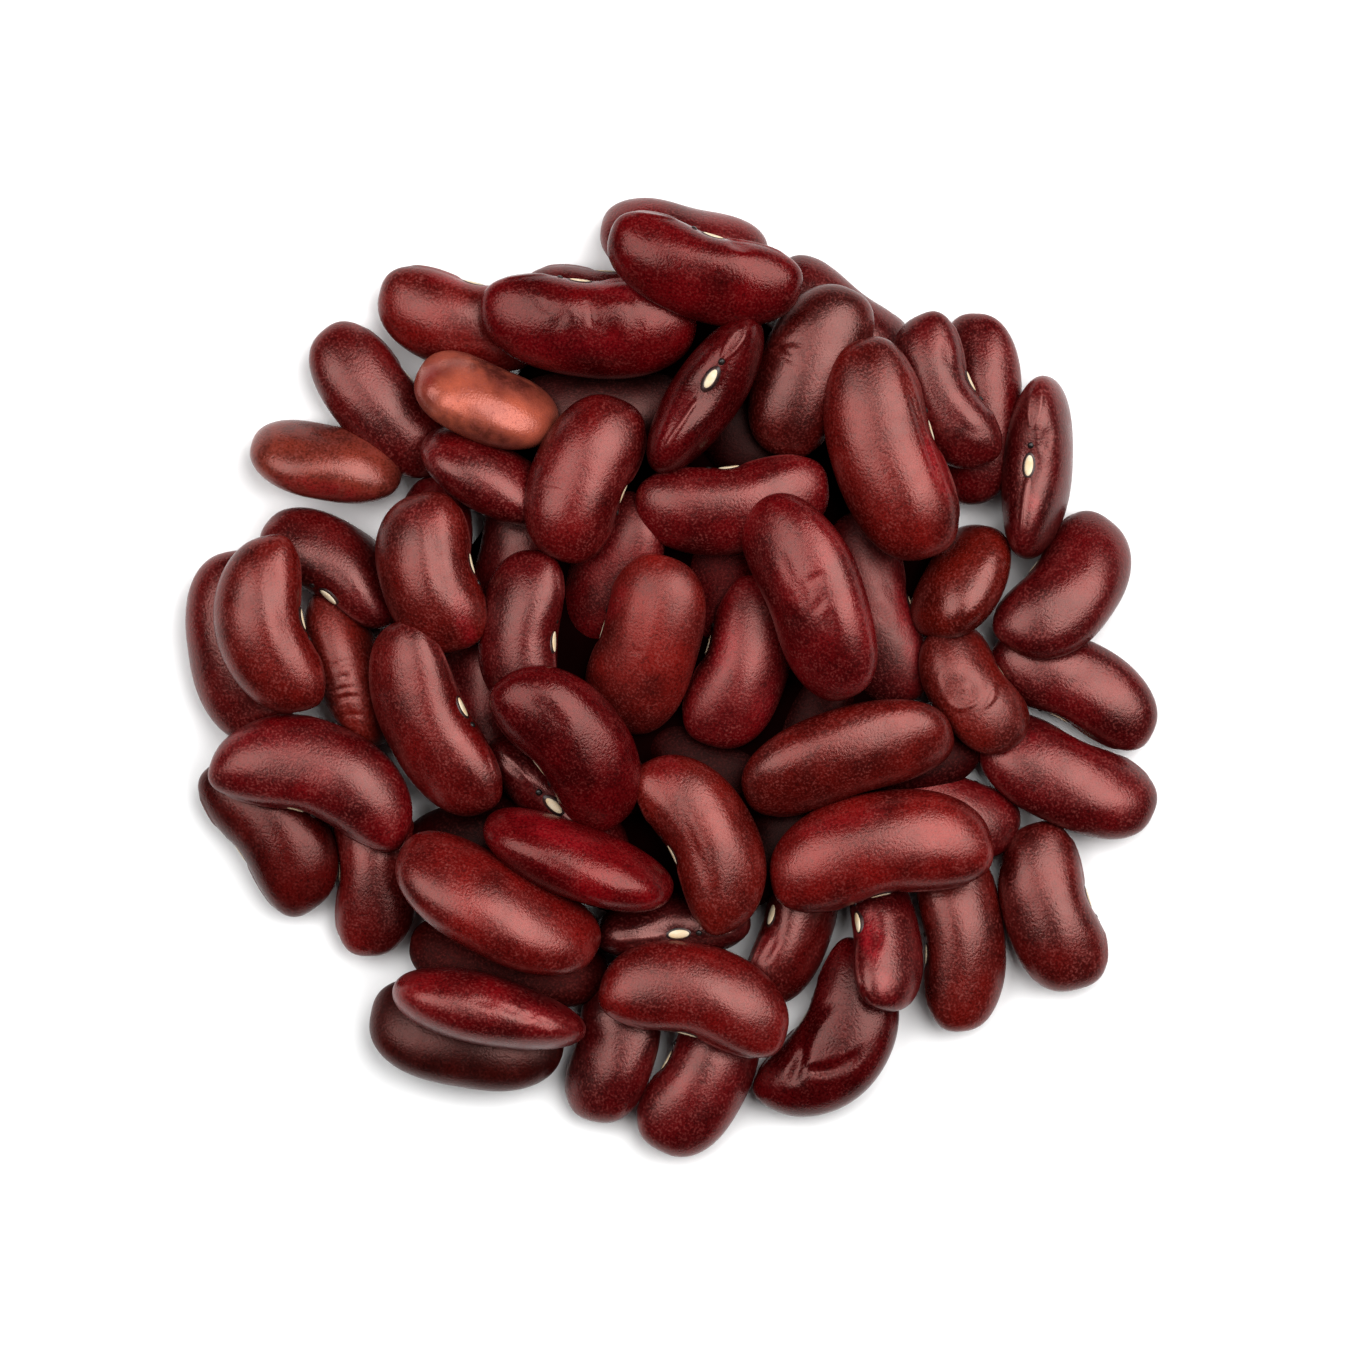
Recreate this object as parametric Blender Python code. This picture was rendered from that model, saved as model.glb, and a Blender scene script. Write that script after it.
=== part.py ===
"""A loose, round heap of dried kidney beans lying as it was poured, two to three beans deep.

Origin: on the ground under the middle of the heap. +Z is up, +Y is the far side of the heap.
"""
import math
from collections import namedtuple

import bmesh
import bpy
import numpy as np

MM = 0.001

# Real sizes, in millimetres
FLATNESS = 0.72          # a bean's thickness over its width
ACROSS_FULLNESS = 2.6    # outline of a bean seen on its side: 2 is an ellipse, more is blunter
THROUGH_FULLNESS = 2.1   # the same seen on its edge
NOTCH_DEPTH = 0.5        # hollow of the side that carries the scar
NOTCH_REACH = 0.38       # how far the hollow runs, over half the bean's length
BEND_REST = 0.4          # where along a bent bean its middle line keeps its place
SIT = 0.15               # flat spot where a bean presses on the ground
CORE_RADIUS = 20.0       # of the hidden middle, at the ground
CORE_HEIGHT = 6.5
CORE_SHOULDER = 0.7      # radius of the core's top over its radius at the ground
CORE_SIDES = 20
GROUND_DEPTH = 5.0       # of the block that stands for the ground

# How the beans settle
CELL = 0.4               # of the height map
REACH = 52.0             # half the side of the height map and of the ground
SHARED = 0.04            # part of a bean that presses into those below
BEAN_FILL = 0.55         # volume of a bean over that of its box
PITCH_COST = 2.0         # height in millimetres that a bean gives up to lie flatter by one radian
PITCHES = np.radians(np.arange(-24, 25, 2))
LEVEL = (64, 65)          # beans of the upper layers that lie level
SKIN_AROUND = 48
SKIN_ALONG = 60

# Facets
SIDES = 9                # around a bean
RINGS = 6                # along it
END_GAP = 0.75           # from a bean's end to its first ring, over the gap between two rings
SMALLEST = 0.04          # points closer than this are one

SKIN_COLOUR = (0.115, 0.014, 0.017, 1.0)
SKIN_ROUGHNESS = 0.42

Bean = namedtuple("Bean", "x y heading roll length width bend taper", defaults=(0.5, 0.0))

# x, y: a bean's middle from above. heading: the way its root end points, anticlockwise from +X.
# roll: where its scar faces, 0 to the left of the heading, 90 up, 180 to the right, -90 down.
# bend: how far it curves to its scar. taper: how much wider its root end is than its other end.
ON_THE_GROUND = [
    Bean(-30.3, 19.0, 168, -130, 13.5, 8.1, 0.1),
    Bean(-25.5, 24.3, -48, -10, 16.1, 7.9, 0.5),
    Bean(-18.2, 31.5, -14, 5, 15.6, 8.2, 0.8),
    Bean(-6.0, 32.4, -4, 0, 15.0, 8.0, 0.5),
    Bean(1.0, 38.0, -11, -30, 14.8, 8.2, 0.4),
    Bean(14.9, 31.3, -38, -20, 14.5, 7.6, 0.6),
    Bean(26.7, 23.6, 88, -20, 16.8, 7.7, 0.6),
    Bean(35.3, -0.8, 153, 0, 15.9, 7.7, 0.9),
    Bean(34.6, -8.7, -25, -15, 16.5, 8.3, 0.5),
    Bean(33.3, -20.1, -75, 0, 15.1, 8.2, 0.7, 0.08),
    Bean(25.2, -22.7, 94, 10, 16.6, 7.6, 0.6),
    Bean(14.0, -31.2, 60, -5, 16.7, 8.7, 2.6, -0.06),
    Bean(2.5, -35.1, 62, 5, 14.6, 8.2, 0.5, -0.05),
    Bean(-5.3, -32.4, 78, -20, 13.4, 7.8, 0.5),
    Bean(-18.0, -31.2, -10, -20, 17.2, 9.3, 0.6),
    Bean(-14.4, -24.9, -10, -30, 17.5, 7.8, 0.6),
    Bean(-26.2, -16.9, 91, 0, 15.0, 7.6, 0.8),
    Bean(-35.3, -13.5, 126, -5, 15.5, 8.3, 1.2, -0.07),
    Bean(-37.8, 2.7, -80, 5, 16.9, 8.8, 0.8),
    Bean(-29.5, 9.8, 145, 38, 14.2, 8.0, 0.8),
    Bean(-28.2, 0.9, -70, -60, 14.6, 7.6, 0.5),
    Bean(-21.4, 10.4, 80, -40, 14.6, 8.0, 0.5),
    Bean(-13.7, 10.8, 76, -20, 14.2, 7.8, 0.5),
    Bean(-17.4, -1.6, 85, -30, 14.5, 8.0, 0.6),
    Bean(-6.3, 23.6, 4, -30, 16.0, 8.2, 0.5),
    Bean(6.2, 21.6, -52, -30, 15.5, 8.2, 0.5),
    Bean(3.6, 9.5, 75, -30, 14.5, 8.0, 0.5),
    Bean(17.6, 6.0, -73, 8, 17.4, 8.4, 0.8),
    Bean(20.6, -6.5, 6, -30, 13.2, 7.6, 0.5),
    Bean(11.6, -3.8, 62, -40, 13.0, 7.4, 0.5),
    Bean(23.8, -11.2, -24, -20, 13.8, 7.6, 0.6),
    Bean(3.6, -7.2, -28, -30, 14.0, 8.0, 0.5),
    Bean(-5.2, -6.8, -50, -30, 13.0, 7.8, 0.5),
    Bean(8.0, -14.6, 50, -30, 13.6, 7.8, 0.5),
    Bean(10.5, -22.2, 70, 39, 13.6, 7.3, 0.7),
    Bean(0.0, -21.8, 5, 100, 13.8, 8.0, 0.8),
    Bean(-9.9, -10.7, 138, 80, 15.8, 8.2, 0.8),
    Bean(-17.2, -13.8, 18, -30, 13.0, 7.8, 0.5),
]
IN_THE_MIDDLE = [
    Bean(26.3, -1.0, -58, -15, 12.3, 7.3, 0.4),
    Bean(25.3, 8.4, 63, -50, 11.3, 8.4, 0.3),
    Bean(31.9, 18.4, 84, 75, 16.1, 8.3, 0.8),
    Bean(34.4, 7.9, 52, -12, 15.0, 8.6, 1.2),
    Bean(23.7, 24.8, -66, 12, 14.3, 7.4, 1.4),
    Bean(12.0, 26.8, 65, 178, 15.9, 8.5, 0.6, 0.03),
    Bean(-15.9, 17.6, -28, -60, 13.1, 7.8, 0.5),
    Bean(-16.2, 24.1, -23, -50, 13.0, 8.4, 0.4, -0.06),
    Bean(-34.9, 4.5, -78, 5, 15.6, 8.3, 1.9),
    Bean(-31.1, -9.0, -20, 175, 18.3, 8.8, 2.5),
    Bean(-20.8, 9.1, -76, 6, 14.1, 8.8, 0.9),
    Bean(-12.9, 4.1, 85, 158, 14.2, 7.6, 0.8),
    Bean(-5.6, 9.2, 61, -30, 15.4, 8.2, 0.5),
    Bean(6.0, 1.3, 72, 4, 15.4, 8.1, 0.8, -0.08),
    Bean(5.3, 15.2, 187, 170, 16.9, 8.2, 1.0),
    Bean(18.5, -22.6, 95, 34, 13.8, 6.8, 0.6, -0.1),
    Bean(-20.8, -3.7, -64, 25, 18.3, 8.4, 1.2),
    Bean(2.1, -28.0, 165, 5, 16.8, 8.5, 1.5),
    Bean(-15.9, -28.9, -13, -85, 17.2, 8.4, 0.6, -0.12),
]
ON_TOP = [
    Bean(-2.3, 2.9, 73, -10, 16.4, 9.3, 0.3),
    Bean(-8.9, -5.8, -53, 185, 16.5, 8.8, 1.5),
    Bean(-8.2, -15.8, -21, -65, 17.4, 8.4, 0.6),
    Bean(-15.2, -19.7, -28, -40, 19.2, 9.6, 0.8),
    Bean(2.6, -14.1, 116, 8, 16.5, 8.3, 1.9),
    Bean(-7.6, 17.4, -112, 2, 15.0, 8.8, 0.6),
    Bean(2.9, 24.6, 57, 85, 15.9, 8.5, 0.8),
    Bean(12.0, 7.1, 113, -30, 18.9, 9.4, 0.5),
    Bean(18.9, 19.8, 107, 175, 19.9, 9.6, 0.8, -0.05),
    Bean(15.2, -6.9, 197, -25, 19.0, 8.4, 0.7),
    Bean(18.1, -15.2, 190, 5, 19.6, 9.5, 1.4),
    Bean(-7.3, 31.0, 176, 168, 18.9, 9.0, 0.9, -0.06),
    Bean(2.7, 35.4, 163, 168, 17.3, 8.0, 1.0),
]
HEAP = ON_THE_GROUND + IN_THE_MIDDLE + ON_TOP


def skin_point(bean, u, a):
    """A point of the skin in the bean's own frame: X to its root end, Y to its scar, Z through it.

    u runs from -1 at one end to 1 at the root end, a is the angle from the scar's side.
    """
    u = np.clip(u, -1, 1)
    wide = (1 - np.abs(u) ** ACROSS_FULLNESS) ** (1 / ACROSS_FULLNESS) * (1 + bean.taper * u)
    thick = (1 - np.abs(u) ** THROUGH_FULLNESS) ** (1 / THROUGH_FULLNESS) * (1 + bean.taper * u)
    facing = np.maximum(np.cos(a), 0) ** 2
    notch = NOTCH_DEPTH * np.exp(-(u / NOTCH_REACH) ** 2) * facing
    y = bean.width / 2 * wide * np.cos(a) + bean.bend * (u * u - BEND_REST) - notch
    z = bean.width * FLATNESS / 2 * thick * np.sin(a)
    return np.stack([u * bean.length / 2, y, z], -1)


def turned(points, bean, pitch):
    """Rolled about its length, pitched with its root end up, and headed."""
    roll = math.radians(bean.roll)
    head = math.radians(bean.heading)
    x, y, z = np.moveaxis(points, -1, 0)
    y, z = y * math.cos(roll) - z * math.sin(roll), y * math.sin(roll) + z * math.cos(roll)
    x, z = x * math.cos(pitch) - z * math.sin(pitch), x * math.sin(pitch) + z * math.cos(pitch)
    x, y = x * math.cos(head) - y * math.sin(head), x * math.sin(head) + y * math.cos(head)
    return np.stack([x, y, z], -1)


def cells_under(points, bean):
    """Cells of the height map that lie under the points."""
    side = int(2 * REACH / CELL)
    column = ((points[:, 0] + bean.x + REACH) / CELL).astype(int)
    row = ((points[:, 1] + bean.y + REACH) / CELL).astype(int)
    return column * side + row


def let_down(bean, points, top):
    """Height of the bean's middle once it rests on the ground or on the heights in top."""
    cells = cells_under(points, bean)
    low = np.full(top.size, np.inf)
    np.minimum.at(low, cells, points[:, 2])
    used = np.unique(cells)
    need = np.sort(top[used] - low[used])[::-1]
    shared = (np.cumsum(need) - need * np.arange(1, need.size + 1)) * CELL * CELL
    allowed = SHARED * BEAN_FILL * bean.length * bean.width * bean.width * FLATNESS
    step = min(int(np.searchsorted(shared, allowed)), need.size - 1)
    return max(need[step], -points[:, 2].min() - SIT)


def settle(heap, on_ground):
    """(pitch, height) of each bean: the first ones flat on the ground, the others let down in turn."""
    side = int(2 * REACH / CELL)
    top = np.zeros(side * side)
    u = np.sin(np.linspace(-math.pi / 2, math.pi / 2, SKIN_ALONG))
    a = np.arange(SKIN_AROUND) / SKIN_AROUND * 2 * math.pi
    u, a = np.meshgrid(u, a)
    poses = []
    for index, bean in enumerate(heap):
        skin = skin_point(bean, u, a).reshape(-1, 3)
        flat = index < on_ground
        level = flat or index in LEVEL
        best = None
        for pitch in (0.0,) if level else PITCHES:
            points = turned(skin, bean, pitch)
            height = -points[:, 2].min() - SIT if flat else let_down(bean, points, top)
            cost = height + PITCH_COST * abs(pitch)
            if best is None or cost < best[0]:
                best = (cost, pitch, height, points)
        _, pitch, height, points = best
        np.maximum.at(top, cells_under(points, bean), points[:, 2] + height)
        poses.append((pitch, height))
    return poses


def make_object(name, verts, faces, collection):
    mesh = bpy.data.meshes.new(name)
    mesh.from_pydata([tuple(v) for v in verts], [], faces)
    mesh.validate()
    obj = bpy.data.objects.new(name, mesh)
    collection.objects.link(obj)
    return obj


def ring_faces(rings, sides, first_pole, last_pole):
    """Quads between neighbouring rings and a fan of triangles at each end."""
    faces = []
    for r in range(rings - 1):
        for s in range(sides):
            t = (s + 1) % sides
            faces.append((r * sides + s, r * sides + t, (r + 1) * sides + t, (r + 1) * sides + s))
    last = (rings - 1) * sides
    for s in range(sides):
        t = (s + 1) % sides
        faces.append((first_pole, t, s))
        faces.append((last_pole, last + s, last + t))
    return faces


def faceted_bean(bean, pitch, height, index, collection):
    """The bean with few sides, a little larger than its skin at the corners and less between."""
    swell = 2 / (1 + math.cos(math.pi / SIDES))
    stout = bean._replace(width=bean.width * swell)
    ring_angles = (np.arange(RINGS) + END_GAP) / (RINGS - 1 + 2 * END_GAP) * math.pi
    side_angles = np.arange(SIDES) / SIDES * 2 * math.pi
    u, a = np.meshgrid(-np.cos(ring_angles), side_angles, indexing="ij")
    rings = skin_point(stout, u, a).reshape(-1, 3)
    poles = skin_point(stout, np.array([-1.0, 1.0]), np.array([0.0, 0.0]))
    points = turned(np.concatenate([rings, poles]), bean, pitch)
    points += (bean.x, bean.y, height)
    faces = ring_faces(RINGS, SIDES, RINGS * SIDES, RINGS * SIDES + 1)
    return make_object(f"bean_{index}", points * MM, faces, collection)


def core(collection):
    """The low middle of the heap, hidden under the beans, with the flat base it rests on."""
    points = []
    for radius, z in ((CORE_RADIUS, -SIT), (CORE_RADIUS * CORE_SHOULDER, CORE_HEIGHT)):
        for s in range(CORE_SIDES):
            angle = 2 * math.pi * s / CORE_SIDES
            points.append((radius * math.cos(angle), radius * math.sin(angle), z))
    sides = range(CORE_SIDES)
    faces = [tuple(reversed(sides)), tuple(CORE_SIDES + s for s in sides)]
    for s in sides:
        t = (s + 1) % CORE_SIDES
        faces.append((s, t, CORE_SIDES + t, CORE_SIDES + s))
    return make_object("core", np.array(points) * MM, faces, collection)


def ground(collection):
    """The ground under the heap, which each bean that lies on it meets with a small flat spot."""
    corners = [(x, y, z) for z in (-GROUND_DEPTH, 0) for y in (-REACH, REACH) for x in (-REACH, REACH)]
    faces = [(0, 2, 3, 1), (4, 5, 7, 6), (0, 1, 5, 4), (2, 6, 7, 3), (0, 4, 6, 2), (1, 3, 7, 5)]
    return make_object("ground", np.array(corners) * MM, faces, collection)


def apply_boolean(obj, operation, others):
    """Joins or cuts the object with all those of a collection, which are then removed."""
    change = obj.modifiers.new(operation.lower(), "BOOLEAN")
    change.operation = operation
    change.solver = "MANIFOLD"
    change.operand_type = "COLLECTION"
    change.collection = others
    bpy.context.view_layer.update()
    graph = bpy.context.evaluated_depsgraph_get()
    mesh = bpy.data.meshes.new_from_object(obj.evaluated_get(graph))
    obj.modifiers.clear()
    old = obj.data
    obj.data = mesh
    bpy.data.meshes.remove(old)
    for other in list(others.objects):
        bpy.data.objects.remove(other, do_unlink=True)
    bpy.data.collections.remove(others)


def keep_outer_skin(obj):
    """Drops the skins of sealed hollows and loose scraps, so the heap is one solid."""
    skin = bmesh.new()
    skin.from_mesh(obj.data)
    left = set(skin.verts)
    bodies = []
    while left:
        body = set()
        edge = [left.pop()]
        while edge:
            vert = edge.pop()
            body.add(vert)
            for link in vert.link_edges:
                other = link.other_vert(vert)
                if other in left:
                    left.discard(other)
                    edge.append(other)
        bodies.append(body)
    bodies.sort(key=len)
    for body in bodies[:-1]:
        bmesh.ops.delete(skin, geom=list(body), context="VERTS")
    bmesh.ops.remove_doubles(skin, verts=skin.verts[:], dist=SMALLEST * MM)
    bmesh.ops.triangulate(skin, faces=skin.faces[:])
    skin.to_mesh(obj.data)
    skin.free()


def skin_material():
    material = bpy.data.materials.new("bean_skin")
    material.use_nodes = True
    shader = material.node_tree.nodes["Principled BSDF"]
    shader.inputs["Base Color"].default_value = SKIN_COLOUR
    shader.inputs["Roughness"].default_value = SKIN_ROUGHNESS
    shader.inputs["Metallic"].default_value = 0.0
    return material


def build():
    for obj in list(bpy.data.objects):
        bpy.data.objects.remove(obj, do_unlink=True)
    scene = bpy.context.scene.collection
    beans = bpy.data.collections.new("beans")
    below = bpy.data.collections.new("below")
    scene.children.link(beans)
    scene.children.link(below)
    ground(below)
    for index, (bean, (pitch, height)) in enumerate(zip(HEAP, settle(HEAP, len(ON_THE_GROUND)))):
        faceted_bean(bean, pitch, height, index, beans)
    heap = core(scene)
    heap.name = "bean_heap"
    apply_boolean(heap, "UNION", beans)
    apply_boolean(heap, "DIFFERENCE", below)
    keep_outer_skin(heap)
    heap.data.materials.clear()
    heap.data.materials.append(skin_material())
    return heap


build()
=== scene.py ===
"""The looks of a loose heap of dried dark red kidney beans on a white surface, seen from above."""
import math
from collections import namedtuple

import bpy
import numpy as np
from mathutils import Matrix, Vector


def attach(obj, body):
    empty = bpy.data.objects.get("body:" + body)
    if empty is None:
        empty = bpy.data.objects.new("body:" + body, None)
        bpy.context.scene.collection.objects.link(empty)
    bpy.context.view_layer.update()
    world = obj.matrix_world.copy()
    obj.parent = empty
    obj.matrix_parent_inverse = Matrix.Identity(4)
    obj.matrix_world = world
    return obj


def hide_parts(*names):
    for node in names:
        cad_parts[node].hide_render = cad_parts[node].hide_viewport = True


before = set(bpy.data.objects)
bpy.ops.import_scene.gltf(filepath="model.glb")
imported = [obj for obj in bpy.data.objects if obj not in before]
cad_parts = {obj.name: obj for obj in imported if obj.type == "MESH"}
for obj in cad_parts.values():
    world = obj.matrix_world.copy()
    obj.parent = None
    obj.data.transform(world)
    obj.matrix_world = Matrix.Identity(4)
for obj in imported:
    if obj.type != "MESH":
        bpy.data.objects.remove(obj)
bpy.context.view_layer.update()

MM = 0.001
NODE = "bean_heap"

# The photograph, 1366 by 1366 pixels, and how it shows the heap
IMAGE_SIDE = 1366
PIXELS_PER_MM = 11.5
HEAP_MIDDLE_PIXEL = (672, 678)
SHARP_HEIGHT = 8.0        # height above the ground at which that scale holds, in millimetres
CAMERA_HEIGHT = 608.0
SENSOR = 36.0

# A bean's shape, in millimetres
FLATNESS = 0.72           # its thickness over its width
ACROSS_FULLNESS = 2.6     # outline of a bean seen on its side: 2 is an ellipse, more is blunter
THROUGH_FULLNESS = 2.1    # the same seen on its edge
NOTCH_DEPTH = 0.5         # hollow of the side that carries the scar
NOTCH_REACH = 0.38        # how far the hollow runs, over half the bean's length
BEND_REST = 0.4           # where along a bent bean its middle line keeps its place
SIT = 0.15                # how far a bean presses into the ground

# How the beans settle
CELL = 0.4                # side of one cell of the height map
REACH = 52.0              # half the height map's side
SHARED = 0.04             # part of a bean that presses into those below
BEAN_FILL = 0.55          # volume of a bean over that of its box
PITCH_COST = 2.0          # height in millimetres that a bean gives up to lie flatter by one radian
PITCHES = np.radians(np.arange(-24, 25, 2))    # the slopes that are tried
LEVEL = (64, 65)          # beans of the upper layers that lie level
SKIN_AROUND = 48          # points around a bean while it settles
SKIN_ALONG = 60           # and along it

# How finely a bean is drawn: rings along it and points around it
FOLDED = (120, 98)        # with folds in its skin, or deep red
FINE = (104, 90)          # on top
MEDIUM = (84, 70)         # in the middle
PLAIN = (56, 46)          # on the ground
CROWDING = 0.5            # how much closer the points lie at the scar's side
OWN_SPACING = 40.0        # keeps the beans apart in the noise, so that no two have the same marks

# The scar and what lies along the same side, in millimetres
SCAR_PLACE = 0.0          # its middle, from -1 at one end to 1 at the root end
SCAR_PLACES = {           # the same where the photograph shows it elsewhere
    10: -0.16, 19: -0.16, 27: 0.08, 34: 0.12, 35: 0.08, 47: -0.1, 49: -0.1,
    51: 0.08, 53: 0.14, 63: 0.16, 65: 0.06, 67: 0.06, 68: 0.1,
}
SCAR_LENGTH = 2.2
SCAR_WIDTH = 0.95
RIM_RISE = 0.1            # of the dark ring around it
RIM_WIDTH = 0.2
SCAR_RISE = 0.2
SCAR_SINK = 0.15          # how far the edges of the scar and the ring go into the skin
PORE_GAP = 0.65           # from the scar's end to the pore's middle
PORE_SIZE = 0.62
PORE_RISE = 0.14
PORE_SINK = 0.1
OVAL_RINGS = 5            # how finely a scar, ring or pore is drawn
OVAL_SIDES = 20
OVAL_FULLNESS = 2.5       # 2 is a round dome, more is flatter on top
OVAL_LIMIT = 0.9          # how far round the bean an oval may reach, 1 to its broad side
MOAT_DEPTH = 0.14         # of the hollow that the scar lies in
MOAT_LENGTH = 0.62        # over the scar's length
MOAT_WIDTH = 0.75         # over its width
RIDGE_HEIGHT = 0.16
RIDGE_WIDTH = 0.42
RIDGE_START = -0.08       # from here to RIDGE_END along the bean, as SCAR_PLACE
RIDGE_END = -0.78
RIDGE_FADE = 0.12
ROOT_SPREAD = 0.5         # half the distance between the two lines over the root
ROOT_HEIGHT = 0.12
ROOT_START = 0.36
ROOT_END = 0.84
ROOT_FADE = 0.1
ROOT_CLOSING = 0.8        # how far the two lines close again at the end: 1 is all the way
ROOT_SHOWS = 0.6          # strength of their colour, over the ridge's
FAR_SIDE = 9.0            # a distance from the ridge beyond the reach of all these

# Dents that every bean has, as a sum of random waves
DENT_HEIGHT = 0.055
DENT_WAVES = 5
DENT_ALONG = (1.5, 5.0)   # from and to, waves along the bean in radians
DENT_AROUND = (1, 4)      # from and below, whole waves around it
DENT_SHIFT = 7.0

# The heap's core, in millimetres and degrees
CORE_RADIUS = 21.5
# How much further it reaches where the beans lie thick, taking its painted shade into the gaps there:
# length, direction, half the spread
CORE_REACHES = ((11.5, 92.0, 32.0), (4.5, 36.0, 24.0))
CORE_WAVE = 0.4           # how far its outline swings
CORE_WAVES = 7
# Rings from the ground up: part of the full reach, height
CORE_PROFILE = ((1.0, 0.0), (1.0, 0.4), (0.95, 1.5), (0.86, 3.0), (0.65, 4.6), (0.3, 5.0))
CORE_SIDES = 96

# Colours, linear
WINE = (0.080, 0.0008, 0.0020)
BROWN = (0.086, 0.0040, 0.0018)
ORANGE = (0.275, 0.0700, 0.0400)
SPECK_DARK = (0.006, 0.0006, 0.0007)
DUST = (0.170, 0.036, 0.031)
CLOUD_DARK = (0.55, 0.45, 0.5)     # the clouds multiply the skin's colour, from this
CLOUD_LIGHT = (1.5, 1.5, 1.5)      # to this
RIDGE_PINK = (0.20, 0.06, 0.055)
FLUSH_RED = (0.210, 0.0040, 0.0100)
# Also the colour of the painted shade on bean 0
MOTTLE_AND_SHADE_DARK = (0.050, 0.0090, 0.0070)
# Painted shade: the heap's core is near black, standing in for the shade deep in the heap's gaps
CORE_SHADE_BLACK = (0.003, 0.0006, 0.0006)
CORE_SHADE_DARK = (0.008, 0.0012, 0.0012)
GROUND_WHITE = (0.87, 0.87, 0.87)
GROUND_ROUGHNESS = 0.6
GROUND_HALF = 1.5         # half its side, in metres

# Scales of the noise on the skin, per millimetre
CLOUD_SCALE = 0.22
BLOTCH_SCALE = 0.6
FLUSH_SCALE = 0.9
SPECK_SCALE = 4.6
SPECK_RANGE = (0.48, 0.34, 0.0, 0.5)    # noise from and to, darkness from and to
DUST_RANGE = (0.53, 0.66, 0.0)          # noise from and to, least dust
SKIN_IOR = 1.85
GLOSS_TINT = (1.0, 0.55, 0.50)
GRAIN_STRENGTH = 0.35
GRAIN_HEIGHT = 0.00012    # in metres
GRAIN_OF_SPECKS = 0.7
GRAIN_OF_BLOTCHES = 0.5

# gloss: specular level. smooth, rough: roughness, from blotch to blotch. dusty: strength of the dust.
Skin = namedtuple("Skin", "gloss smooth rough dusty")
SKIN = Skin(0.38, 0.25, 0.34, 0.7)
# Painted shade: a dim, nearly glossless copy of the skin for the beans at the bottom of the heap's gaps
SKIN_PAINTED_SHADE = Skin(0.06, 0.45, 0.55, 0.7)
SKIN_DEEP_RED = Skin(0.25, 0.19, 0.28, 0.42)

# Two colours that mix in a noise, the noise's scale per millimetre, and the grain's height in metres
Plain = namedtuple("Plain", "colour second scale roughness grain")
SCAR_LOOK = Plain((0.62, 0.54, 0.41), (0.6, 0.45, 0.28), 1.6, 0.55, 0.0001)
RIM_LOOK = Plain((0.012, 0.005, 0.005), (0.05, 0.015, 0.012), 3.0, 0.4, 0.00005)
PORE_LOOK = Plain((0.004, 0.003, 0.003), (0.02, 0.012, 0.01), 5.0, 0.35, 0.0001)

# Softboxes: name, place, width and height in metres, power in watts
SOFTBOXES = (
    ("softbox_right", (0.281, 0.173, 0.560), 0.63, 0.58, 7.5),
    ("softbox_left", (-0.342, 0.107, 0.542), 0.47, 0.47, 3.4),
)
SKY = 0.02
CONTRAST = 0.86           # display gamma: under 1 deepens the darks as the photograph does

Bean = namedtuple("Bean", "x y heading roll length width bend taper", defaults=(0.5, 0.0))

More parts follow.
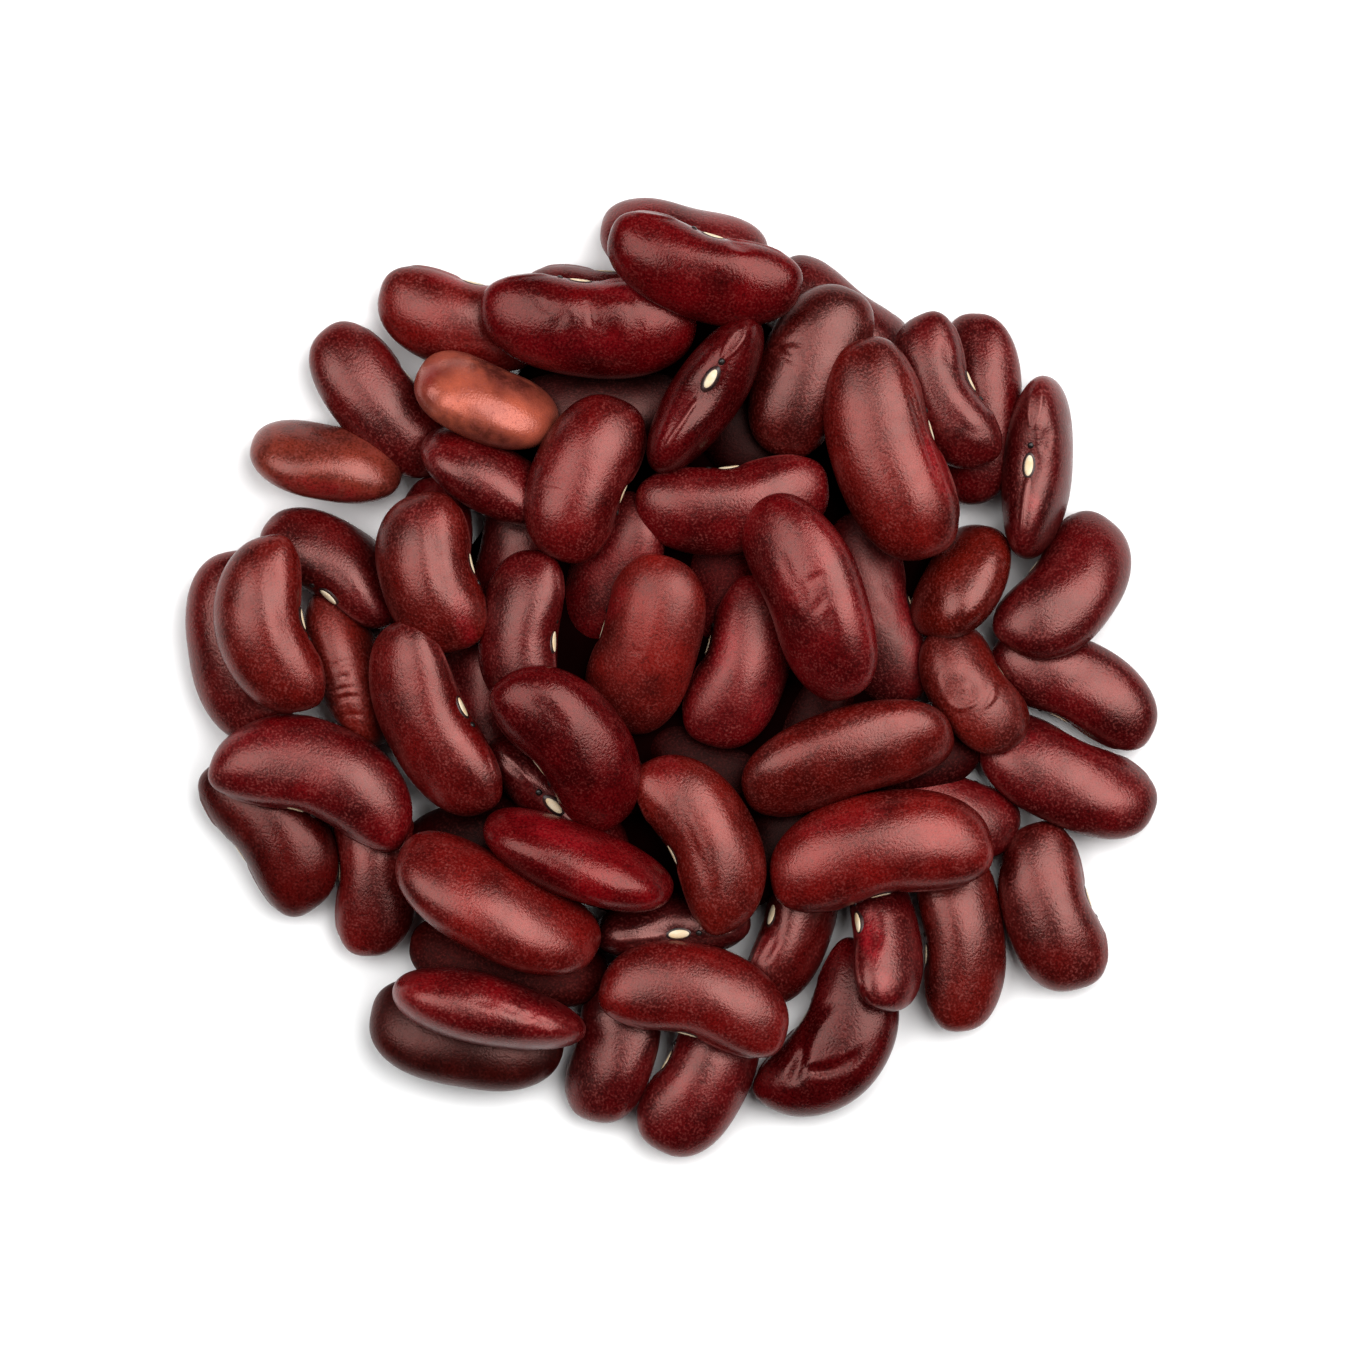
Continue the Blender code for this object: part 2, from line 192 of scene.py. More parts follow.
# x, y: a bean's middle from above. heading: the way its root end points, anticlockwise from +X.
# roll: where its scar faces, 0 to the left of the heading, 90 up, 180 to the right, -90 down.
# bend: how far it curves to its scar. taper: how much wider its root end is than its other end.
ON_THE_GROUND = [
    Bean(-30.3, 19.0, 168, -130, 13.5, 8.1, 0.1),
    Bean(-25.5, 24.3, -48, -10, 16.1, 7.9, 0.5),
    Bean(-18.2, 31.5, -14, 5, 15.6, 8.2, 0.8),
    Bean(-6.0, 32.4, -4, 0, 15.0, 8.0, 0.5),
    Bean(1.0, 38.0, -11, -30, 14.8, 8.2, 0.4),
    Bean(14.9, 31.3, -38, -20, 14.5, 7.6, 0.6),
    Bean(26.7, 23.6, 88, -20, 16.8, 7.7, 0.6),
    Bean(35.3, -0.8, 153, 0, 15.9, 7.7, 0.9),
    Bean(34.6, -8.7, -25, -15, 16.5, 8.3, 0.5),
    Bean(33.3, -20.1, -75, 0, 15.1, 8.2, 0.7, 0.08),
    Bean(25.2, -22.7, 94, 10, 16.6, 7.6, 0.6),
    Bean(14.0, -31.2, 60, -5, 16.7, 8.7, 2.6, -0.06),
    Bean(2.5, -35.1, 62, 5, 14.6, 8.2, 0.5, -0.05),
    Bean(-5.3, -32.4, 78, -20, 13.4, 7.8, 0.5),
    Bean(-18.0, -31.2, -10, -20, 17.2, 9.3, 0.6),
    Bean(-14.4, -24.9, -10, -30, 17.5, 7.8, 0.6),
    Bean(-26.2, -16.9, 91, 0, 15.0, 7.6, 0.8),
    Bean(-35.3, -13.5, 126, -5, 15.5, 8.3, 1.2, -0.07),
    Bean(-37.8, 2.7, -80, 5, 16.9, 8.8, 0.8),
    Bean(-29.5, 9.8, 145, 38, 14.2, 8.0, 0.8),
    Bean(-28.2, 0.9, -70, -60, 14.6, 7.6, 0.5),
    Bean(-21.4, 10.4, 80, -40, 14.6, 8.0, 0.5),
    Bean(-13.7, 10.8, 76, -20, 14.2, 7.8, 0.5),
    Bean(-17.4, -1.6, 85, -30, 14.5, 8.0, 0.6),
    Bean(-6.3, 23.6, 4, -30, 16.0, 8.2, 0.5),
    Bean(6.2, 21.6, -52, -30, 15.5, 8.2, 0.5),
    Bean(3.6, 9.5, 75, -30, 14.5, 8.0, 0.5),
    Bean(17.6, 6.0, -73, 8, 17.4, 8.4, 0.8),
    Bean(20.6, -6.5, 6, -30, 13.2, 7.6, 0.5),
    Bean(11.6, -3.8, 62, -40, 13.0, 7.4, 0.5),
    Bean(23.8, -11.2, -24, -20, 13.8, 7.6, 0.6),
    Bean(3.6, -7.2, -28, -30, 14.0, 8.0, 0.5),
    Bean(-5.2, -6.8, -50, -30, 13.0, 7.8, 0.5),
    Bean(8.0, -14.6, 50, -30, 13.6, 7.8, 0.5),
    Bean(10.5, -22.2, 70, 39, 13.6, 7.3, 0.7),
    Bean(0.0, -21.8, 5, 100, 13.8, 8.0, 0.8),
    Bean(-9.9, -10.7, 138, 80, 15.8, 8.2, 0.8),
    Bean(-17.2, -13.8, 18, -30, 13.0, 7.8, 0.5),
]
IN_THE_MIDDLE = [
    Bean(26.3, -1.0, -58, -15, 12.3, 7.3, 0.4),
    Bean(25.3, 8.4, 63, -50, 11.3, 8.4, 0.3),
    Bean(31.9, 18.4, 84, 75, 16.1, 8.3, 0.8),
    Bean(34.4, 7.9, 52, -12, 15.0, 8.6, 1.2),
    Bean(23.7, 24.8, -66, 12, 14.3, 7.4, 1.4),
    Bean(12.0, 26.8, 65, 178, 15.9, 8.5, 0.6, 0.03),
    Bean(-15.9, 17.6, -28, -60, 13.1, 7.8, 0.5),
    Bean(-16.2, 24.1, -23, -50, 13.0, 8.4, 0.4, -0.06),
    Bean(-34.9, 4.5, -78, 5, 15.6, 8.3, 1.9),
    Bean(-31.1, -9.0, -20, 175, 18.3, 8.8, 2.5),
    Bean(-20.8, 9.1, -76, 6, 14.1, 8.8, 0.9),
    Bean(-12.9, 4.1, 85, 158, 14.2, 7.6, 0.8),
    Bean(-5.6, 9.2, 61, -30, 15.4, 8.2, 0.5),
    Bean(6.0, 1.3, 72, 4, 15.4, 8.1, 0.8, -0.08),
    Bean(5.3, 15.2, 187, 170, 16.9, 8.2, 1.0),
    Bean(18.5, -22.6, 95, 34, 13.8, 6.8, 0.6, -0.1),
    Bean(-20.8, -3.7, -64, 25, 18.3, 8.4, 1.2),
    Bean(2.1, -28.0, 165, 5, 16.8, 8.5, 1.5),
    Bean(-15.9, -28.9, -13, -85, 17.2, 8.4, 0.6, -0.12),
]
ON_TOP = [
    Bean(-2.3, 2.9, 73, -10, 16.4, 9.3, 0.3),
    Bean(-8.9, -5.8, -53, 185, 16.5, 8.8, 1.5),
    Bean(-8.2, -15.8, -21, -65, 17.4, 8.4, 0.6),
    Bean(-15.2, -19.7, -28, -40, 19.2, 9.6, 0.8),
    Bean(2.6, -14.1, 116, 8, 16.5, 8.3, 1.9),
    Bean(-7.6, 17.4, -112, 2, 15.0, 8.8, 0.6),
    Bean(2.9, 24.6, 57, 85, 15.9, 8.5, 0.8),
    Bean(12.0, 7.1, 113, -30, 18.9, 9.4, 0.5),
    Bean(18.9, 19.8, 107, 175, 19.9, 9.6, 0.8, -0.05),
    Bean(15.2, -6.9, 197, -25, 19.0, 8.4, 0.7),
    Bean(18.1, -15.2, 190, 5, 19.6, 9.5, 1.4),
    Bean(-7.3, 31.0, 176, 168, 18.9, 9.0, 0.9, -0.06),
    Bean(2.7, 35.4, 163, 168, 17.3, 8.0, 1.0),
]
HEAP = ON_THE_GROUND + IN_THE_MIDDLE + ON_TOP

# Folds and dents of single beans, seen from above, in millimetres and degrees.
# bow: how far the fold's ends curve to its left. A negative depth stands out.
Fold = namedtuple("Fold", "bean x y heading length width depth bow", defaults=(0.0,))
FOLDS = [
    Fold(68, -6.9, 31.4, 95, 4.6, 1.8, 0.2),
    Fold(68, -7.0, 31.7, 100, 2.2, 0.28, 0.14, 0.3),
    Fold(68, -6.5, 30.4, -35, 1.4, 0.26, 0.12, 0.2),
    Fold(68, -9.7, 31.0, 60, 1.8, 0.7, 0.07),
    Fold(68, -10.9, 32.0, -20, 1.8, 0.5, 0.1, 0.3),
    Fold(68, -4.4, 33.4, -15, 2.4, 0.6, 0.14, -0.5),
    Fold(68, -3.0, 30.2, 80, 1.8, 0.7, 0.06),
    Fold(43, 9.8, 29.0, 18, 1.9, 0.32, 0.08),
    Fold(43, 9.8, 28.0, -42, 1.9, 0.32, 0.09),
    Fold(43, 10.4, 28.5, -10, 1.6, 0.5, -0.07),
    Fold(62, -10.3, 16.7, -14, 1.5, 0.22, 0.09),
    Fold(62, -10.4, 17.2, -10, 1.2, 0.22, 0.05),
    Fold(20, -28.5, -1.7, 12, 3.6, 0.3, 0.17, -0.5),
    Fold(20, -28.6, -0.9, 12, 3.0, 0.25, 0.09, -0.4),
    Fold(20, -28.4, -3.2, 10, 3.0, 0.3, 0.1, -0.4),
    Fold(20, -28.5, 0.1, 0, 0.7, 0.35, 0.14),
    Fold(20, -28.4, 1.4, 10, 2.6, 0.4, 0.08, -0.3),
    Fold(38, 25.3, -0.9, 0, 2.4, 1.3, 0.16),
    Fold(38, 25.0, -2.6, -10, 3.0, 0.3, -0.12, 0.9),
    Fold(38, 27.9, -1.6, 70, 2.2, 0.35, -0.12, 0.3),
    Fold(38, 23.3, -0.5, 100, 2.4, 0.4, -0.06, -0.4),
    Fold(38, 25.4, -0.9, 40, 0.7, 0.35, -0.1),
    Fold(56, -14.0, -28.7, -25, 1.6, 0.35, 0.12, 0.2),
    Fold(56, -12.2, -29.2, 20, 1.5, 0.35, 0.12, 0.2),
    Fold(56, -10.9, -29.9, -30, 1.4, 0.35, 0.1),
    Fold(56, -16.2, -28.0, -15, 1.8, 0.4, 0.08),
    Fold(56, -13.2, -27.8, -50, 1.2, 0.4, 0.08),
    Fold(64, 11.3, 7.2, 100, 2.0, 0.4, 0.1, 0.2),
    Fold(64, 12.7, 6.3, 60, 1.6, 0.4, 0.1),
    Fold(64, 10.6, 5.2, 130, 1.6, 0.4, 0.08),
    Fold(64, 12.4, 8.6, 30, 1.3, 0.45, 0.1),
    Fold(64, 13.6, 4.8, 110, 1.8, 0.4, 0.08),
    Fold(64, 9.9, 9.4, 110, 2.6, 0.5, 0.08),
    Fold(42, 23.9, 28.1, 100, 2.0, 0.6, 0.08),
    Fold(42, 25.3, 21.8, -40, 3.0, 0.6, 0.07, 0.4),
    Fold(42, 23.2, 24.6, 115, 4.5, 0.9, 0.04),
    Fold(57, -3.1, 2.3, 0, 0.5, 0.3, 0.1),
    Fold(57, -2.6, 4.6, 75, 6.0, 0.9, 0.08),
    Fold(61, 1.7, -14.0, 113, 9.0, 0.6, 0.1),
    Fold(48, -20.4, 10.6, -78, 6.5, 0.8, 0.1),
    Fold(46, -34.0, 6.0, -75, 8.0, 0.9, 0.1),
    Fold(58, -10.4, -3.0, -50, 3.5, 0.7, 0.09),
    Fold(27, 18.9, 7.9, -70, 2.5, 0.6, 0.1),
    Fold(27, 20.2, 4.4, -75, 2.5, 0.6, 0.1, 0.4),
    Fold(27, 18.6, 5.3, -50, 2.0, 0.5, 0.08),
    Fold(11, 14.3, -34.0, 20, 5.0, 0.6, 0.3, 0.6),
    Fold(11, 11.0, -33.9, 70, 3.0, 0.6, 0.25),
    Fold(11, 11.9, -30.3, 60, 5.0, 0.8, 0.25, -0.6),
    Fold(34, 8.5, -23.7, 62, 2.6, 0.5, 0.16),
    Fold(53, 17.3, -21.8, -80, 3.0, 0.9, 0.16),
    Fold(60, -10.2, -24.6, -10, 1.5, 0.4, 0.12),
    Fold(69, 5.8, 37.4, -20, 1.8, 0.6, 0.18),
    Fold(65, 21.7, 21.2, -72, 9.0, 0.35, 0.14),
    Fold(65, 24.4, 17.0, -70, 3.0, 0.5, 0.14, 0.3),
    Fold(7, 34.8, -0.5, 20, 2.2, 0.5, 0.1),
    Fold(40, 32.4, 20.6, 80, 2.0, 0.6, 0.14),
    Fold(13, -4.8, -36.6, 80, 2.6, 0.4, 0.12),
    Fold(45, -20.2, 25.0, 60, 3.6, 0.9, 0.14),
    Fold(45, -15.6, 25.6, -24, 7.0, 1.0, 0.06),
    Fold(45, -13.6, 22.4, -28, 5.0, 0.9, 0.08),
    Fold(22, -14.5, 14.6, -25, 2.4, 0.4, 0.14, 0.3),
    Fold(22, -13.5, 13.4, -20, 2.4, 0.4, 0.12, 0.3),
]
FOLD_LIPS = 0.8           # how strongly a fold's two edges stand out
FOLD_SOFTNESS = 1.2
BOW_LIMIT = 1.5           # where a fold stops curving, over the square of half its length
FACING_UP = 0.15          # least upward lean of the skin that a fold marks
FACING_FADE = 0.3

# Patches of another colour on single beans, placed as the folds are; bean 0's dark patches are painted
# shade.
# strength: up to 1 for bright red, down to -1 for a dark mottle and, on bean 0, painted shade.
Patch = namedtuple("Patch", "bean x y heading length width strength")
PATCHES = [
    Patch(53, 17.4, -22.6, -82, 4.4, 2.2, 1.1),
    Patch(53, 18.6, -26.8, -70, 3.0, 1.6, 0.5),
    Patch(40, 31.5, 14.9, 85, 2.6, 1.3, 0.8),
    Patch(34, 8.4, -23.7, 62, 3.4, 2.2, 0.6),
    Patch(68, -4.4, 34.0, -15, 6.0, 2.2, 0.6),
    Patch(68, -8.0, 29.0, 0, 9.0, 2.4, 0.35),
    Patch(65, 22.9, 18.4, -68, 6.0, 1.8, 0.8),
    Patch(48, -17.9, 4.6, -75, 6.0, 1.6, 0.6),
    Patch(48, -21.6, 14.0, 10, 3.5, 2.0, 0.3),
    Patch(57, -5.0, 6.5, 60, 4.0, 1.6, 0.35),
    Patch(51, 4.6, 2.4, 70, 6.0, 1.8, 0.5),
    Patch(51, 8.2, -2.0, 70, 4.0, 1.6, 0.4),
    Patch(27, 20.6, 4.0, -76, 8.0, 1.4, 0.7),
    Patch(63, 0.2, 22.4, 57, 6.0, 2.0, 0.3),
    Patch(8, 32.0, -6.0, -25, 6.0, 2.0, 0.4),
    Patch(30, 21.6, -10.4, -24, 4.0, 1.6, 0.5),
    Patch(19, -26.0, 6.2, -35, 4.0, 1.4, 0.5),
    Patch(47, -36.0, -5.4, 0, 7.0, 1.8, 0.45),
    Patch(59, -10.0, -13.4, -25, 8.0, 1.8, 0.4),
    Patch(56, -13.0, -28.6, -22, 7.0, 1.6, 0.35),
    Patch(2, -19.0, 35.0, 0, 5.0, 1.4, 0.4),
    Patch(69, 4.6, 38.6, -18, 6.0, 1.4, 0.4),
    Patch(67, 14.6, -12.6, 15, 8.0, 1.8, 0.3),
    Patch(45, -14.6, 26.6, -24, 9.0, 2.8, -0.9),
    Patch(45, -16.6, 21.3, -24, 10.0, 1.8, -0.7),
    Patch(45, -21.6, 25.4, 60, 5.0, 1.6, 0.4),
    # Painted shade: bean 0 darker along its upper side and at its left end
    Patch(0, -31.2, 21.6, -10, 11.0, 2.2, -0.9),
    Patch(0, -30.0, 16.3, -12, 10.0, 1.8, 0.6),
    Patch(0, -36.0, 20.0, 70, 4.0, 1.8, -0.7),
    Patch(39, 26.6, 9.6, 60, 8.0, 3.0, -0.3),
    Patch(61, -0.6, -8.0, 110, 4.0, 3.0, 0.4),
]
# Beans with a smoother and less dusty skin than the others
DEEP_RED = (11, 14, 17, 58, 59, 63, 68, 69)
# Beans with folds that need the finest drawing
WITH_FOLDS = (20, 38, 43, 56, 62, 64)
# Beans seen only at the bottom of the heap's gaps, dull and dark with painted shade
BELOW = (15, 25, 26, 28, 29, 31, 32, 33, 37)

# How brown a bean is: 0 is wine red, 1 is brown red, 2 is orange brown
TONES = {
    0: 1.3, 1: 0.2, 2: 0.5, 9: 0.5, 10: 0.7, 14: 0.8, 15: 0.4, 16: 0.4, 17: 0.5, 18: 0.3, 19: 0.2,
    20: 1.0, 34: 0.4, 38: 0.9, 39: 1.0, 43: 0.6, 45: 2.0, 46: 0.7, 48: 0.7, 54: 0.4, 55: 0.4,
    57: 0.7, 60: 0.5, 61: 0.8, 62: 0.2, 65: 0.6, 66: 0.7, 67: 0.5,
}
# How light its skin is, as a factor on the usual; the low values of the beans deep in the heap's gaps
# are painted shade
LIGHTNESS_AND_SHADE = {
    0: 1.0, 1: 0.85, 2: 1.25, 5: 0.7, 7: 0.85, 8: 0.95, 9: 0.9, 10: 0.9, 11: 0.62, 13: 0.8,
    14: 0.36, 15: 0.45, 17: 0.58, 19: 0.75, 22: 0.75, 23: 1.25, 24: 0.25, 25: 0.1, 26: 0.55,
    28: 0.35, 29: 0.2, 30: 1.1, 31: 0.15, 32: 0.3, 33: 0.08, 34: 0.7, 35: 0.48, 36: 0.65, 37: 0.2,
    39: 1.05, 40: 0.78, 41: 0.75, 42: 0.8, 43: 0.58, 45: 1.02, 46: 1.15, 49: 0.72, 50: 1.3,
    51: 1.15, 54: 1.12, 55: 1.12, 56: 1.2, 57: 1.35, 58: 0.88, 59: 1.28, 60: 1.28, 62: 1.05,
    63: 0.68, 64: 1.25, 65: 1.05, 66: 0.95, 67: 1.3, 68: 0.95,
}
# How much rougher its skin is
DULL = {
    14: 0.12, 17: 0.05, 20: 0.08, 22: 0.1, 23: 0.1, 24: 0.2, 27: 0.12, 30: 0.05, 38: 0.05,
    39: -0.04, 50: 0.1, 51: 0.05, 57: 0.1,
}


def skin_point(bean, u, a):
    """A point of the skin in the bean's own frame: X to its root end, Y to its scar, Z through it.

    u runs from -1 at one end to 1 at the root end, a is the angle from the scar's side.
    """
    u = np.clip(u, -1, 1)
    wide = (1 - np.abs(u) ** ACROSS_FULLNESS) ** (1 / ACROSS_FULLNESS) * (1 + bean.taper * u)
    thick = (1 - np.abs(u) ** THROUGH_FULLNESS) ** (1 / THROUGH_FULLNESS) * (1 + bean.taper * u)
    facing = np.maximum(np.cos(a), 0) ** 2
    notch = NOTCH_DEPTH * np.exp(-(u / NOTCH_REACH) ** 2) * facing
    y = bean.width / 2 * wide * np.cos(a) + bean.bend * (u * u - BEND_REST) - notch
    z = bean.width * FLATNESS / 2 * thick * np.sin(a)
    return np.stack([u * bean.length / 2, y, z], -1)


def turned(points, bean, pitch):
    """Rolled about its length, pitched with its root end up, and headed."""
    roll = math.radians(bean.roll)
    head = math.radians(bean.heading)
    x, y, z = np.moveaxis(points, -1, 0)
    y, z = y * math.cos(roll) - z * math.sin(roll), y * math.sin(roll) + z * math.cos(roll)
    x, z = x * math.cos(pitch) - z * math.sin(pitch), x * math.sin(pitch) + z * math.cos(pitch)
    x, y = x * math.cos(head) - y * math.sin(head), x * math.sin(head) + y * math.cos(head)
    return np.stack([x, y, z], -1)


def cells_under(points, bean):
    """The number of the height map's cell under each point."""
    side = int(2 * REACH / CELL)
    column = ((points[:, 0] + bean.x + REACH) / CELL).astype(int)
    row = ((points[:, 1] + bean.y + REACH) / CELL).astype(int)
    return column * side + row


def let_down(bean, points, top):
    """Height of the bean's middle once it rests on the ground or on the heights in top."""
    cells = cells_under(points, bean)
    low = np.full(top.size, np.inf)
    np.minimum.at(low, cells, points[:, 2])
    used = np.unique(cells)
    need = np.sort(top[used] - low[used])[::-1]
    shared = (np.cumsum(need) - need * np.arange(1, need.size + 1)) * CELL * CELL
    allowed = SHARED * BEAN_FILL * bean.length * bean.width * bean.width * FLATNESS
    step = min(int(np.searchsorted(shared, allowed)), need.size - 1)
    return max(need[step], -points[:, 2].min() - SIT)


def settle(heap, on_ground):
    """(pitch, height) of each bean: the first ones flat on the ground, the others let down in turn."""
    side = int(2 * REACH / CELL)
    top = np.zeros(side * side)
    u = np.sin(np.linspace(-math.pi / 2, math.pi / 2, SKIN_ALONG))
    a = np.arange(SKIN_AROUND) / SKIN_AROUND * 2 * math.pi
    u, a = np.meshgrid(u, a)
    poses = []
    for index, bean in enumerate(heap):
        skin = skin_point(bean, u, a).reshape(-1, 3)
        flat = index < on_ground
        level = flat or index in LEVEL
        best = None
        for pitch in (0.0,) if level else PITCHES:
            points = turned(skin, bean, pitch)
            height = -points[:, 2].min() - SIT if flat else let_down(bean, points, top)
            cost = height + PITCH_COST * abs(pitch)
            if best is None or cost < best[0]:
                best = (cost, pitch, height, points)
        _, pitch, height, points = best
        np.maximum.at(top, cells_under(points, bean), points[:, 2] + height)
        poses.append((pitch, height))
    return poses


def outward(points):
    """Normals of a grid of skin points, rings along the first axis and closed along the second."""
    along = np.gradient(points, axis=0)
    around = np.roll(points, -1, 1) - np.roll(points, 1, 1)
    normal = np.cross(along, around)
    length = np.linalg.norm(normal, axis=-1, keepdims=True)
    normal = normal / np.maximum(length, 1e-9)
    outer = points - points.mean(1, keepdims=True)
    if (normal * outer).sum() < 0:
        normal = -normal
    return normal


def bump(x, width):
    """1 at 0, falling smoothly to both sides."""
    return np.exp(-(x / width) ** 2)


def between(x, low, high, soft):
    """1 from low to high, falling to 0 over a soft distance at both ends."""
    rise = np.clip((x - low) / soft, 0, 1)
    fall = np.clip((high - x) / soft, 0, 1)
    return rise * rise * (3 - 2 * rise) * fall * fall * (3 - 2 * fall)


def moat(bean, u, across, place):
    """Depth of the hollow that the scar lies in."""
    along = (u - place) * bean.length / 2
    return MOAT_DEPTH * (bump(along, SCAR_LENGTH * MOAT_LENGTH) * bump(across, SCAR_WIDTH * MOAT_WIDTH))


def scar_relief(bean, u, across, place):
    """Height of the ridge, the moat and the root's two lines, and how strongly the ridge shows."""
    ridge = bump(across, RIDGE_WIDTH / 2) * between(u, RIDGE_END, RIDGE_START, RIDGE_FADE)
    run = np.clip((u - ROOT_START) / (ROOT_END - ROOT_START), 0, 1)
    spread = ROOT_SPREAD * np.sin(run * math.pi * ROOT_CLOSING)
    lines = bump(np.abs(across) - spread, RIDGE_WIDTH / 2) * between(u, ROOT_START, ROOT_END, ROOT_FADE)
    height = RIDGE_HEIGHT * ridge + ROOT_HEIGHT * lines - moat(bean, u, across, place)
    return height, np.maximum(ridge, ROOT_SHOWS * lines)


def dents(u, a, random):
    """Shallow waves over the whole skin."""
    height = np.zeros_like(u)
    for _ in range(DENT_WAVES):
        along = random.uniform(*DENT_ALONG)
        around = random.integers(*DENT_AROUND)
        wave = np.sin(along * u + random.uniform(0, DENT_SHIFT))
        height += wave * np.cos(around * a + random.uniform(0, DENT_SHIFT))
    return DENT_HEIGHT * height


def bean_grid(bean, detail, index):
    """Skin points of one bean in its own frame, with the strength of the ridge at each."""
    rings, sides = detail
    u = -np.cos((np.arange(rings) + 0.5) / rings * math.pi)
    t = np.arange(sides) / sides * 2 * math.pi
    a = t - CROWDING * np.sin(t)
    u, a = np.meshgrid(u, a, indexing="ij")
    points = skin_point(bean, u, a)
    across = np.where(np.cos(a) > 0, points[..., 2], FAR_SIDE)
    relief, ridge = scar_relief(bean, u, across, SCAR_PLACES.get(index, SCAR_PLACE))
    relief += dents(u, a, np.random.default_rng(index))
    relief *= np.sqrt(np.clip(1 - u * u, 0, 1))
    return points + outward(points) * relief[..., None], ridge


def folded(points, normals, index):
    """The placed skin with the folds of that bean pressed into it along its normals."""
    relief = np.zeros(points.shape[:-1])
    up = np.clip((normals[..., 2] - FACING_UP) / FACING_FADE, 0, 1)
    for fold in FOLDS:
        if fold.bean != index:
            continue
        head = math.radians(fold.heading)
        x, y = points[..., 0] - fold.x, points[..., 1] - fold.y
        along = (x * math.cos(head) + y * math.sin(head)) / (fold.length / 2)
        across = y * math.cos(head) - x * math.sin(head)
        across = (across - fold.bow * np.minimum(along * along, BOW_LIMIT)) / fold.width
        profile = (1 - FOLD_LIPS * across ** 2) * np.exp(-(across ** 2) / FOLD_SOFTNESS)
        relief -= fold.depth * profile * np.exp(-(along ** 4)) * up
    return points + normals * relief[..., None]


def flush_and_shade(points, index):
    """How red, or if negative how dark, each point of the placed skin is by the bean's patches, bean 0's
    dark being painted shade.
    """
    strength = np.zeros(points.shape[:-1])
    for patch in PATCHES:
        if patch.bean != index:
            continue
        head = math.radians(patch.heading)
        x, y = points[..., 0] - patch.x, points[..., 1] - patch.y
        along = (x * math.cos(head) + y * math.sin(head)) / (patch.length / 2)
        across = (y * math.cos(head) - x * math.sin(head)) / (patch.width / 2)
        strength += patch.strength * np.exp(-(along ** 2 + across ** 2) ** 2)
    return strength


def grid_faces(rings, sides):
    """Quads between neighbouring rings of a grid and a fan of triangles at each end."""
    s = np.arange(sides)
    t = (s + 1) % sides
    r = np.arange(rings - 1)[:, None] * sides
    quads = np.stack([r + s, r + t, r + t + sides, r + s + sides], -1).reshape(-1, 4)
    last = (rings - 1) * sides
    first_pole, last_pole = rings * sides, rings * sides + 1
    low = np.stack([np.full(sides, first_pole), t, s], -1)
    high = np.stack([np.full(sides, last_pole), last + s, last + t], -1)
    return [tuple(f) for f in quads.tolist()] + [tuple(f) for f in low.tolist() + high.tolist()]


def joined_mesh(name, pieces):
    """One mesh object of many, each given as points in millimetres, faces and per-point values."""
    verts = np.concatenate([points for points, _, _ in pieces]) * MM
    faces = []
    start = 0
    for points, piece_faces, _ in pieces:
        faces += [tuple(i + start for i in face) for face in piece_faces]
        start += len(points)
    mesh = bpy.data.meshes.new(name)
    mesh.from_pydata(verts.tolist(), [], faces)
    for key in pieces[0][2]:
        values = np.concatenate([data[key] for _, _, data in pieces])
        if values.ndim == 1:
            mesh.attributes.new(key, "FLOAT", "POINT").data.foreach_set("value", values)
        else:
            mesh.attributes.new(key, "FLOAT_VECTOR", "POINT").data.foreach_set("vector", values.ravel())
    mesh.polygons.foreach_set("use_smooth", [True] * len(mesh.polygons))
    mesh.update()
    obj = bpy.data.objects.new(name, mesh)
    bpy.context.scene.collection.objects.link(obj)
    return obj


def placed(points, bean, pose):
    """Points of the bean's own frame where they lie in the heap."""
    pitch, height = pose
    return turned(points, bean, pitch) + (bean.x, bean.y, height)


def bean_piece(bean, pose, detail, index):
    """Points, faces and values of one bean where it lies in the heap."""
    grid, ridge = bean_grid(bean, detail, index)
    poles = np.stack([grid[0].mean(0), grid[-1].mean(0)])
    poles[0, 0] = -bean.length / 2
    poles[1, 0] = bean.length / 2
    own = np.concatenate([grid.reshape(-1, 3), poles])
    lying = placed(grid, bean, pose)
    lying = folded(lying, outward(lying), index)
    lying = np.concatenate([lying.reshape(-1, 3), placed(poles, bean, pose)])
    lying[:, 2] = np.maximum(lying[:, 2], 0.0)
    count = len(own)
    data = {
        "tone": np.full(count, TONES.get(index, 0.0)),
        "ridge": np.concatenate([ridge.ravel(), [0, 0]]),
        "flush_and_shade": flush_and_shade(lying, index),
        "lightness_and_shade": np.full(count, LIGHTNESS_AND_SHADE.get(index, 1.0)),
        "dull": np.full(count, DULL.get(index, 0.0)),
        "own_place": own + OWN_SPACING * index,
    }
    return lying, grid_faces(*detail), data


